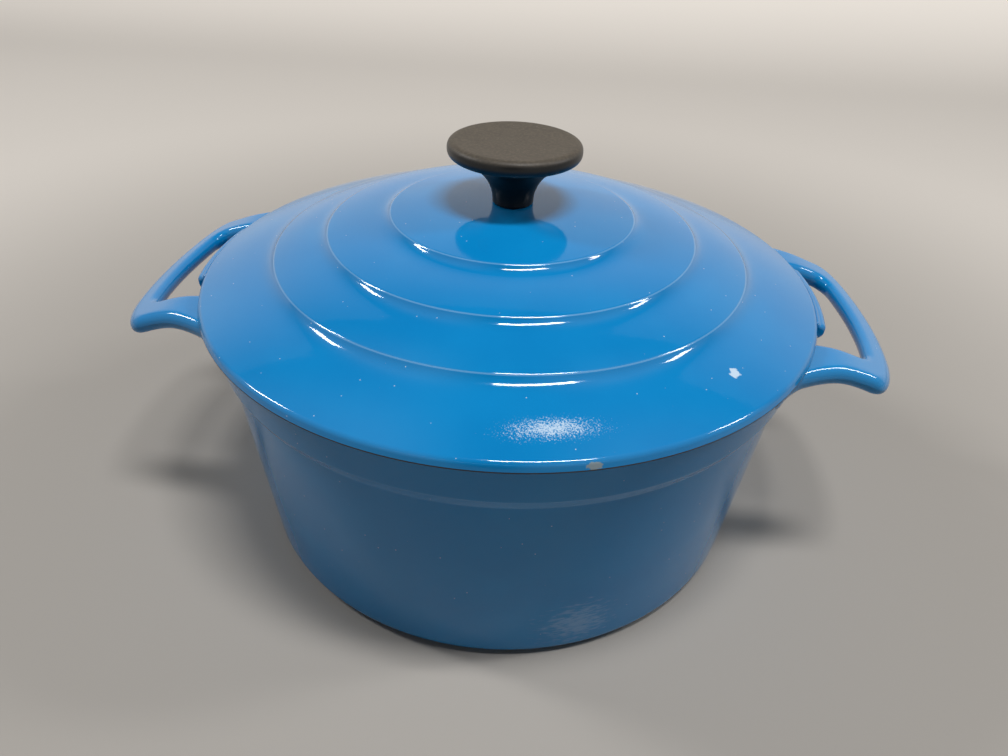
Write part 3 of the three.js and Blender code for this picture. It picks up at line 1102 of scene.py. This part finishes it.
@dataclass
class LoopHandles:
    """Two loop handles cast on the pot's collar, level at their roots and then sloping down.

    Spans are half widths across the X axis, and reaches are measured out from the rim.
    """

    pot: Pot
    bar_outside: float = POT_HIGH.x
    drop: float = 0.5 * MM
    knee: float = 6.2 * MM
    bend: float = 6 * MM
    slope: float = math.radians(21)
    thickness: float = 8.2 * MM
    edge: float = 4 * MM
    bar_width: float = 11.2 * MM
    tip_span: float = 50.4 * MM
    tip_round: float = 17.5 * MM
    leg_reach: float = 19.6 * MM
    root_span: float = 70 * MM
    opening_span: float = 35.2 * MM
    opening_root_span: float = 33.8 * MM
    opening_round: float = 6.5 * MM
    root_fillet: float = 5 * MM
    bar_steps: int = 28
    corner_steps: int = 30
    leg_steps: int = 40

    @property
    def root_radius(self) -> float:
        """Radius in the middle of the pot's wall where the legs end."""
        return (self.pot.mouth_radius + self.pot.collar_foot[0]) / 2

    def outer_line(self) -> np.ndarray:
        """Outside of the loop on the +Y side: the bar's arc, its corner, and a leg that spreads to its root.

        Returns:
            Points in plan, from the X axis to the root.
        """
        tip = on_circle(self.bar_outside, self.tip_span)
        tip_start = on_circle(self.bar_outside, self.tip_span - self.tip_round)
        leg = np.array([self.pot.rim_radius + self.leg_reach, self.tip_span])
        root = on_circle(self.root_radius, self.root_span)
        leg_bend = np.array([(leg[0] + root[0]) / 2, leg[1]])
        return np.vstack(
            [
                arc(self.bar_outside, math.atan2(tip_start[1], tip_start[0]) * steps(self.bar_steps)),
                bend(tip_start, tip, leg, steps(self.corner_steps)),
                bend(leg, leg_bend, root, np.linspace(0, 1, self.leg_steps)),
            ]
        )

    def inner_line(self) -> np.ndarray:
        """Inside of the loop on the +Y side: the finger gap's arc, its corner and its side.

        Returns:
            Points in plan, as many as the outer line has.
        """
        inside = self.bar_outside - self.bar_width
        corner = on_circle(inside, self.opening_span)
        start = on_circle(inside, self.opening_span - self.opening_round)
        root = on_circle(self.root_radius, self.opening_root_span)
        side = corner + unit(root - corner) * self.opening_round
        side_bend = np.array([(2 * root[0] + side[0]) / 3, root[1]])
        return np.vstack(
            [
                arc(inside, math.atan2(start[1], start[0]) * steps(self.bar_steps)),
                bend(start, corner, side, steps(self.corner_steps)),
                bend(side, side_bend, root, np.linspace(0, 1, self.leg_steps)),
            ]
        )

    def top(self, x: np.ndarray) -> np.ndarray:
        """Height of the handle's top: level, then a bend down to a straight slope.

        Args:
            x: Places along X.

        Returns:
            Rim height less the drop and less (b + sqrt(b^2 + bend^2)) / 2 times the slope, with b the
            distance beyond the knee.
        """
        beyond = x - self.pot.rim_radius - self.knee
        run = (beyond + np.hypot(beyond, self.bend)) / 2
        return self.pot.height - self.drop - run * math.tan(self.slope)

    def points(self) -> np.ndarray:
        """Works out the right handle, with a fillet round each root.

        Near the collar, the underside is let down and the flanks are spread by a quarter round of the
        distance to the collar.

        Returns:
            Grid of points.
        """
        inner = both_sides(self.inner_line())
        outer = both_sides(self.outer_line())
        grid, normal = RoundedBar(inner, outer, self.thickness, self.edge).points()
        grid[..., 2] += self.top(grid[..., 0]) - self.thickness / 2
        gap = np.hypot(grid[..., 0], grid[..., 1]) - self.pot.collar_radius(grid[..., 2])
        flare = fillet(gap, self.root_fillet)[..., None]
        grid += flare * np.minimum(normal, np.array([np.inf, np.inf, 0]))
        radius = np.hypot(grid[..., 0], grid[..., 1])[..., None]
        grid[..., :2] *= np.maximum(1, self.root_radius / radius)
        return grid

    def build(self, palette: Palette) -> None:
        """Builds and dresses both handles.

        Args:
            palette: Materials of the oven.
        """
        points = self.points()
        for side in Side:
            surface = Surface(side.turn(points), capped=True)
            piece = surface.piece(f"handle_{side.name.lower()}", [palette.blue])
            place_piece(piece, "pot", "pot_casting")


@dataclass
class Lid:
    """Lid with three step rings, a rounded edge, a locating ring below and an ear above each handle.

    A cut, a round or an ease is how far from a corner its round starts, and a band is its width and rise.
    """

    pot: Pot
    radius: float = LID_HIGH.y
    top: float = LID_HIGH.z
    locator_bottom: float = LID_LOW.z
    locator_depth: float = 5 * MM
    locator_width: float = 5 * MM
    locator_clearance: float = 1.3 * MM
    locator_round: float = 1.2 * MM
    locator_root: float = 0.8 * MM
    edge: float = 3.4 * MM
    edge_round: float = 1.2 * MM
    edge_ease: float = 0.9 * MM
    edge_lean: float = 1.2 * MM
    wall: float = 4 * MM
    skirt_width: float = 31.4 * MM
    skirt_rise: float = 15.1 * MM
    outer_band: Pair = (22 * MM, 8.6 * MM)
    inner_band: Pair = (25.8 * MM, 6.9 * MM)
    crown_sag: float = 0.425 * MM
    crown_cut: float = 15 * MM
    sweep_slope: float = 1.5
    sweep_length: float = 2.1 * MM
    band_crown: float = 0.65 * MM
    crest_cut: float = 0.7 * MM
    pad_radius: float = 10.5 * MM
    pad_cut: float = 3 * MM
    hole_radius: float = 3.3 * MM
    hole_ease: float = 0.3 * MM
    under_pad_cut: float = 2 * MM
    under_ring_cut: float = 4 * MM
    under_skirt_cut: float = 3 * MM
    ear_width: float = 52 * MM
    ear_reach: float = 3.4 * MM
    ear_height: float = 6.3 * MM
    ear_clearance: float = 1.6 * MM
    ear_edge: float = 2.3 * MM
    ear_taper: float = 2.5 * MM
    ear_fillet: float = 1.2 * MM
    ear_end_turn: float = 0.97 * math.pi / 2
    segments: int = 256
    arc_steps: int = 8
    band_steps: int = 18
    band_crowding: float = 1.8
    crest_steps: int = 6
    crest_margin: int = 2
    ear_steps: int = 24
    ear_end_steps: int = 14

    @property
    def seat(self) -> float:
        """Height of the face that rests on the rim."""
        return self.locator_bottom + self.locator_depth

    def rings(self) -> np.ndarray:
        """Works out the three rings' crests, each a band's width and rise from the one outside it.

        Returns:
            Radius and height of each crest, from the outside in.
        """
        outer = np.array([self.radius - self.skirt_width, self.seat + self.skirt_rise])
        middle = outer + np.array([-1, 1]) * self.outer_band
        return np.stack([outer, middle, middle + np.array([-1, 1]) * self.inner_band])

    def band(self, inner: np.ndarray, outer: np.ndarray, share: np.ndarray) -> np.ndarray:
        """Works out one band: below its ring a sweep that dies away, then a slope that steepens outwards.

        Args:
            inner: Crest of the ring that the band falls from.
            outer: Point that it falls to.
            share: Places along it, from 0 at the ring to 1 at the outer point.

        Returns:
            Points at height h - s x - (k - s) l (1 - exp(-x / l)) + 4 b x (w - x) / w^2, with x the distance
            from the ring, h the ring's height, k the sweep's slope, l its length, b the band's bulge, w its
            width, and s the slope beyond the sweep, which makes the band end at the outer point.
        """
        width, drop = (outer - inner) * np.array([1, -1])
        reach = self.sweep_length * (1 - math.exp(-width / self.sweep_length))
        slope = (drop - self.sweep_slope * reach) / (width - reach)
        run = width * share
        swept = self.sweep_length * (1 - np.exp(-run / self.sweep_length))
        bulge = 4 * self.band_crown * share * (1 - share)
        height = inner[1] - slope * run - (self.sweep_slope - slope) * swept + bulge
        return np.stack([inner[0] + run, height], axis=-1)

    def top_line(self) -> np.ndarray:
        """Goes from the lid's edge inwards over the three bands, with a small round on each crest.

        Returns:
            Points of radius and height.
        """
        rings = self.rings()
        outer_ends = np.vstack([[self.radius - self.edge_lean, self.seat + self.edge], rings[:-1]])
        trims = np.array([self.edge_round, self.crest_cut, self.crest_cut])
        share = (1 - np.linspace(0, 1, self.band_steps)) ** self.band_crowding
        bands = []
        for inner, outer, trim in zip(rings, outer_ends, trims):
            low = self.crest_cut / (outer[0] - inner[0])
            high = 1 - trim / (outer[0] - inner[0])
            bands.append(self.band(inner, outer, low + (high - low) * share))
        crown = rings[-1] + unit(self.crown() - rings[-1]) * self.crest_cut
        after = [bands[1][0], bands[2][0], crown]
        share = steps(self.crest_steps)[1:]
        rounds = [bend(line[-1], ring, end, share) for line, ring, end in zip(bands, rings, after)]
        pairs = [part for pair in zip(bands, rounds) for part in pair]
        return np.vstack([*pairs, crown])

    def crown(self) -> np.ndarray:
        """Point that the crown's curve heads for between the inner ring and the knob's seat."""
        return np.array([(self.rings()[-1, 0] + self.pad_radius) / 2, self.top - self.crown_sag])

    def profile(self) -> tuple[np.ndarray, np.ndarray]:
        """Goes from the screw's hole out along the underside, round the edge and back over the top.

        Returns:
            Closed line of radius and height, and the finish of each span.
        """
        rings = self.rings()
        locator_outside = self.pot.mouth_radius - self.locator_clearance
        locator_inside = locator_outside - self.locator_width
        skirt_share = (self.radius - locator_inside) / self.skirt_width
        skirt_under = self.seat + self.edge + skirt_share * (self.skirt_rise - self.edge) - self.wall
        below = np.array(
            [
                [self.hole_radius, self.top - self.wall],
                [self.pad_radius, self.top - self.wall],
                *(rings[::-1] - np.array([0, self.wall])),
                [locator_inside, skirt_under],
                [locator_inside, self.locator_bottom],
                [locator_outside, self.locator_bottom],
                [locator_outside, self.seat],
                [self.radius, self.seat],
                [self.radius - self.edge_lean, self.seat + self.edge],
            ]
        )
        below_cuts = np.array(
            [self.hole_ease, self.under_pad_cut]
            + [self.under_ring_cut] * len(rings)
            + [self.under_skirt_cut, self.locator_round, self.locator_round, self.locator_root]
            + [self.edge_ease, self.edge_round]
        )
        centre = np.array([self.crown(), [self.pad_radius, self.top], [self.hole_radius, self.top]])
        centre_cuts = np.array([self.crown_cut, self.pad_cut, self.hole_ease])
        over = self.top_line()
        path = np.vstack(
            [
                rounded(np.vstack([centre[-1:], below, over[:1]]), below_cuts, self.arc_steps),
                over,
                rounded(np.vstack([rings[-1:], centre, below[:1]]), centre_cuts, self.arc_steps),
            ]
        )
        blue, rim, lining, crest = (finish.value for finish in CastFinish)
        spans = self.arc_steps + 1
        # The matt black finish covers the seat and its outer round, and the blue starts with the edge's face;
        # the black outer round also stands in for the shadow line under the lid's edge, as painted shade.
        under_finish = np.repeat([lining] * 8 + [rim, rim, blue], [spans] * 9 + [spans - 1, spans + 1])
        # The crest rounds take the paler crest finish, partly a painted highlight.
        margin = self.crest_margin
        band_spans = [self.band_steps - 1 + margin, self.crest_steps - 2 * margin, margin]
        over_finish = np.tile(np.repeat([blue, crest, blue], band_spans), len(rings))
        centre_finish = np.repeat([blue, blue, blue, lining], [1, spans, spans, spans])
        return path, np.concatenate([under_finish, over_finish, centre_finish])

    def ear_points(self) -> np.ndarray:
        """Works out the right ear: a bar along the lid's edge whose ends draw in as a quarter ellipse.

        Its top rises to the lid's edge in a fillet.

        Returns:
            Grid of points.
        """
        outside = self.radius + self.ear_reach
        inside = self.pot.rim_radius + self.ear_clearance
        end = math.asin(self.ear_width / 2 / inside)
        taper = math.asin((self.ear_width / 2 - self.ear_taper) / outside)
        share = np.sin(np.linspace(0, self.ear_end_turn, self.ear_end_steps))
        angle = np.concatenate([taper * steps(self.ear_steps), taper + (end - taper) * share])
        drawn = np.concatenate([np.ones(self.ear_steps), np.sqrt(1 - share**2)])
        inner = both_sides(arc(inside, angle))
        outer = both_sides(arc(inside + (outside - inside) * drawn, angle))
        grid, normal = RoundedBar(inner, outer, self.ear_height, self.ear_edge).points()
        grid[..., 2] += self.locator_bottom + self.ear_height / 2
        gap = np.hypot(grid[..., 0], grid[..., 1]) - self.radius
        grid[..., 2] += fillet(gap, self.ear_fillet) * np.maximum(normal[..., 2], 0)
        return grid

    def build(self, palette: Palette) -> None:
        """Builds and dresses the lid and its ears.

        Args:
            palette: Materials of the oven.
        """
        path, finishes = self.profile()
        surface = Surface(turned(path, self.segments), finishes, closed_rows=True)
        place_piece(surface.piece("lid_shell", palette.cast()), "lid", "lid_casting")
        points = self.ear_points()
        for side in Side:
            ear = Surface(side.turn(points), capped=True).piece(f"ear_{side.name.lower()}", [palette.blue])
            place_piece(ear, "lid", "lid_casting")


@dataclass
class Knob:
    """Mushroom knob: a dished disc with a rounded edge on a trumpet-shaped stem."""

    radius: float = KNOB_HIGH.x
    base: float = KNOB_LOW.z
    top: float = KNOB_HIGH.z
    edge: float = 6.4 * MM
    dish: float = 0.5 * MM
    flare: float = 18.5 * MM
    undercut: float = 6.3 * MM
    stem_radius: float = 8.5 * MM
    stem_round: float = 0.5 * MM
    hole_radius: float = 5.5 * MM
    hole_depth: float = 12.3 * MM
    segments: int = 160
    foot_steps: int = 5
    flare_steps: int = 28
    edge_steps: int = 14
    top_steps: int = 15

    def profile(self) -> np.ndarray:
        """Goes down the blind hole, out and up the stem, along the trumpet, round the edge and over the top.

        Returns:
            Points of radius and height.
        """
        edge_inside = self.radius - self.edge / 2
        edge_bottom = self.top - self.edge
        edge_middle = self.top - self.edge / 2
        stem_top = np.array([self.stem_radius, edge_bottom - self.flare])
        under = np.array([edge_inside, edge_bottom])
        side = np.array([self.radius, edge_middle])
        above = np.array([edge_inside, self.top])
        middle = np.array([0, self.top - self.dish])
        trumpet = np.array([self.stem_radius, edge_bottom - self.undercut])
        dished = np.array([edge_inside / 2, self.top - self.dish])
        foot = np.array(
            [
                [self.hole_radius, self.base + self.hole_depth],
                [self.hole_radius, self.base],
                [self.stem_radius, self.base],
                stem_top,
            ]
        )
        return np.vstack(
            [
                [[0, self.base + self.hole_depth]],
                foot[:1],
                rounded(foot, np.full(2, self.stem_round), self.foot_steps),
                bend(stem_top, trumpet, under, steps(self.flare_steps)),
                bend(under, np.array([self.radius, edge_bottom]), side, steps(self.edge_steps)),
                bend(side, np.array([self.radius, self.top]), above, steps(self.edge_steps)),
                bend(above, dished, middle, np.linspace(0, 1, self.top_steps + 1)),
            ]
        )

    def build(self, palette: Palette) -> bpy.types.Object:
        """Builds and dresses the knob.

        Args:
            palette: Materials of the oven.

        Returns:
            The piece.
        """
        piece = Surface(turned(self.profile(), self.segments)).piece("knob_disc_and_stem", [palette.knob])
        place_piece(piece, "lid", "lid_knob")
        return piece


@dataclass
class KnobFastening:
    """Slotted screw with a flat and a split washer under the lid, and the brass insert in the knob.

    The slot's floor reaches out to slot_foot, and the dome's even rows start at slot_clear, both as shares of
    half the slot's width. The shank starts shank_sunk inside the head.
    """

    screw_radius: float = 3 * MM
    screw_point: float = 0.7 * MM
    head_height: float = 3.2 * MM
    slot_width: float = 1.5 * MM
    slot_depth: float = 1.7 * MM
    slot_foot: float = 0.94
    slot_clear: float = 1.1
    shank_sunk: float = 0.5 * MM
    washer_inside: float = 3.3 * MM
    washer_edge: float = 0.15 * MM
    split: float = 1.4 * MM
    segments: int = 96
    head_rows: int = 49
    head_columns: int = 41
    washer_arc_steps: int = 3
    washer_flat_steps: int = 2

    def head_points(self) -> np.ndarray:
        """Works out the slotted dome of the screw's head, and the flat that closes it above.

        The disc is a grid of rows across the slot: x = s sqrt(R^2 - y^2) with s from -1 to 1. The dome is at
        bottom + H (1 - sqrt(1 - r / R))^2, and between the slot's sides no lower than the slot's floor.

        Returns:
            Grid of points, with the dome's columns followed by the flat's columns in reverse.
        """
        low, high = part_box("knob_screw")
        radius = high.x
        half_slot = self.slot_width / 2
        side = np.array([-1, -self.slot_foot, self.slot_foot, 1]) * half_slot
        even = radius * np.sin(np.linspace(-np.pi / 2, np.pi / 2, self.head_rows))
        clear = even[np.abs(even) > half_slot * self.slot_clear]
        y = np.unique(np.concatenate([clear, side]))[:, None]
        s = np.sin(np.linspace(-np.pi / 2, np.pi / 2, self.head_columns))[None, :]
        x = s * np.sqrt(np.maximum(radius**2 - y**2, 0))
        share = np.clip(1 - np.hypot(x, y) / radius, 0, 1)
        dome = low.z + self.head_height * (1 - np.sqrt(share)) ** 2
        in_slot = np.abs(y) < half_slot * (1 + self.slot_foot) / 2
        dome = np.where(in_slot, np.maximum(dome, low.z + self.slot_depth), dome)
        flat = np.full_like(dome, low.z + self.head_height)
        under = np.stack([x, np.broadcast_to(y, x.shape), dome], axis=-1)
        above = np.stack([x, np.broadcast_to(y, x.shape), flat], axis=-1)
        return np.concatenate([under, above[:, -2:0:-1]], axis=1)

    def shank_profile(self) -> np.ndarray:
        """Goes from inside the head up the shank to its chamfered point.

        Returns:
            Points of radius and height.
        """
        low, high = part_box("knob_screw")
        start = low.z + self.head_height - self.shank_sunk
        return np.array(
            [
                [0, start],
                [self.screw_radius, start],
                [self.screw_radius, high.z - self.screw_point],
                [self.screw_radius - self.screw_point, high.z],
                [0, high.z],
            ]
        )

    def flat_washer_profile(self) -> np.ndarray:
        """Goes round the flat washer's section, a rectangle with eased corners.

        Returns:
            Closed line of radius and height.
        """
        low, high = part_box("flat_washer")
        corners = np.array(
            [[self.washer_inside, low.z], [high.x, low.z], [high.x, high.z], [self.washer_inside, high.z]]
        )
        looped = np.vstack([corners[-1:], corners, corners[:1]])
        return rounded(looped, np.full(len(corners), self.washer_edge), self.washer_arc_steps)

    def split_washer_points(self) -> np.ndarray:
        """Split ring: a bar round the screw that leaves the split open.

        Returns:
            Grid of points.
        """
        low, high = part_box("spring_washer")
        start = math.asin(self.split / 2 / self.washer_inside)
        angle = np.linspace(start, 2 * np.pi - start, self.segments)
        bar = RoundedBar(
            inner=arc(self.washer_inside, angle),
            outer=arc(-low.x, angle),
            thickness=high.z - low.z,
            edge=self.washer_edge,
            arc_steps=self.washer_arc_steps,
            flat_steps=self.washer_flat_steps,
        )
        grid, _ = bar.points()
        return grid + np.array([0, 0, (low.z + high.z) / 2])

    def build(self, palette: Palette) -> None:
        """Builds and dresses the screw and washers, and dresses the insert.

        Args:
            palette: Materials of the oven.
        """
        steel = [palette.steel]
        shank = Surface(turned(self.shank_profile(), self.segments)).piece("screw_shank", steel)
        head = Surface(self.head_points()).piece("screw_head", steel)
        flat = Surface(turned(self.flat_washer_profile(), self.segments), closed_rows=True)
        split = Surface(self.split_washer_points(), capped=True)
        place_piece(shank, "lid", "knob_screw")
        place_piece(head, "lid", "knob_screw")
        place_piece(flat.piece("washer_flat", steel), "lid", "flat_washer")
        place_piece(split.piece("washer_split", steel), "lid", "spring_washer")
        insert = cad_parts["knob_insert"].data
        insert.materials.clear()
        insert.materials.append(palette.brass)


# Studio

@dataclass(frozen=True)
class Lamp:
    """Rectangular lamp.

    Attributes:
        name: Name of the lamp.
        place: Its middle.
        size: Its sides.
        watts: Its power.
        turn: Its turn about X, Y and Z in degrees, from facing straight down.
    """

    name: str
    place: Triple
    size: Pair
    watts: float
    turn: Triple

    def build(self) -> bpy.types.Object:
        """Adds the lamp.

        Returns:
            The lamp's object.
        """
        light = bpy.data.lights.new(self.name, "AREA")
        light.shape = "RECTANGLE"
        light.size, light.size_y = self.size
        light.energy = self.watts
        made = link(self.name, light)
        made.location = self.place
        made.rotation_euler = [math.radians(angle) for angle in self.turn]
        return made


LAMPS = (
    Lamp("top_softbox", place=(0.23, -0.27, 1.5), size=(0.56, 0.17), watts=15.6, turn=(10, 9, 0)),
    Lamp("left_softbox", place=(-1.25, 0.15, 1.15), size=(0.4, 0.16), watts=8.4, turn=(-7, -50, 0)),
    Lamp("right_softbox", place=(1.3, 0.15, 1.15), size=(0.4, 0.16), watts=6.6, turn=(-7, 51, 0)),
    Lamp("front_strip", place=(0.0, -1.5, 1.0), size=(2.4, 0.06), watts=0.8, turn=(59, 0, 0)),
)


@dataclass
class Studio:
    """Pale floor that sweeps up into a backdrop, soft lamps, and the camera at the photograph's place.

    A fade is a pair of parts of a direction: the ceiling's glow is 0 at the first and whole at the second.
    """

    camera_place: Triple = (0.02091, -0.29841, 0.26815)
    heading: float = math.radians(4.09)
    pitch: float = math.radians(35.12)
    roll: float = math.radians(2.49)
    lens: float = 27.036
    sensor: float = 36.0
    nearest: float = 0.01
    floor_front: float = -2.5
    wall_back: float = 1.6
    wall_top: float = 2.6
    sweep_cut: float = 0.7
    sweep_steps: int = 24
    half_width: float = 5.0
    world_colour: Colour = (1.0, 0.98, 0.95)
    world_strength: float = 0.07
    ceiling_glow: float = 0.6
    ceiling_side_fade: Pair = (0.05, 0.4)
    ceiling_back_fade: Pair = (0.5, 0.1)

    def sweep(self, palette: Palette) -> bpy.types.Object:
        """Builds the floor and backdrop: a floor line, a quarter round and a wall line, drawn out along X.

        Args:
            palette: Materials of the oven and its stage.

        Returns:
            The stage piece.
        """
        corners = np.array([[self.floor_front, 0], [self.wall_back, 0], [self.wall_back, self.wall_top]])
        quarter = rounded(corners, np.array([self.sweep_cut]), self.sweep_steps)
        line = np.vstack([corners[:1], quarter, corners[-1:]])
        across = np.tile([-self.half_width, self.half_width], (len(line), 1))
        along, height = (np.repeat(line[:, [axis]], 2, axis=1) for axis in range(2))
        grid = np.stack([across, along, height], axis=-1)
        return link("floor_sweep", Surface(grid, closed_columns=False).mesh("floor_sweep", [palette.paper]))

    def camera(self) -> bpy.types.Object:
        """Adds the camera: it looks along +Y, turned by the heading, tipped down by the pitch, then rolled.

        Returns:
            The camera's object.
        """
        optics = bpy.data.cameras.new("photo_camera")
        optics.sensor_fit = "HORIZONTAL"
        optics.sensor_width = self.sensor
        optics.lens = self.lens
        optics.clip_start = self.nearest
        made = link("photo_camera", optics)
        tipped = Euler((math.pi / 2 - self.pitch, 0, self.heading)).to_matrix()
        aim = tipped @ Matrix.Rotation(self.roll, 3, "Z")
        made.matrix_world = Matrix.Translation(self.camera_place) @ aim.to_4x4()
        return made

    def light_world(self) -> None:
        """Lights the world dimly, with a glow above and before the oven that only views and mirrors show."""
        scene = bpy.context.scene
        scene.world = scene.world or bpy.data.worlds.new("studio")
        scene.world.use_nodes = True
        graph = Graph(scene.world.node_tree)
        way = graph.axes(graph.add("ShaderNodeTexCoord").outputs["Generated"])
        beside = graph.rise(graph.math("ABSOLUTE", way["X"]), *self.ceiling_side_fade)
        before = graph.rise(way["Y"], *self.ceiling_back_fade)
        glow = graph.math("MULTIPLY", graph.math("MULTIPLY", beside, before), self.ceiling_glow)
        glow = graph.math("MULTIPLY_ADD", graph.seen(), glow, self.world_strength)
        colour = (*self.world_colour, 1.0)
        graph.feed(graph.tree.nodes["Background"], {"Color": colour, "Strength": glow})

    def build(self, palette: Palette) -> None:
        """Sets up the stage, the lamps, the world and the camera.

        Args:
            palette: Materials of the oven and its stage.
        """
        self.sweep(palette)
        for lamp in LAMPS:
            lamp.build()
        self.light_world()
        bpy.context.scene.camera = self.camera()
        bpy.context.scene.view_settings.view_transform = "Standard"


def main() -> None:
    """Builds every sub-assembly in order, then the studio."""
    logging.basicConfig(level=logging.INFO, format="%(name)s: %(message)s")
    palette = Palette()
    pot = Pot()
    pot.build(palette)
    LoopHandles(pot).build(palette)
    Lid(pot).build(palette)
    Knob().build(palette)
    KnobFastening().build(palette)
    Studio().build(palette)


if __name__ == "__main__":
    main()
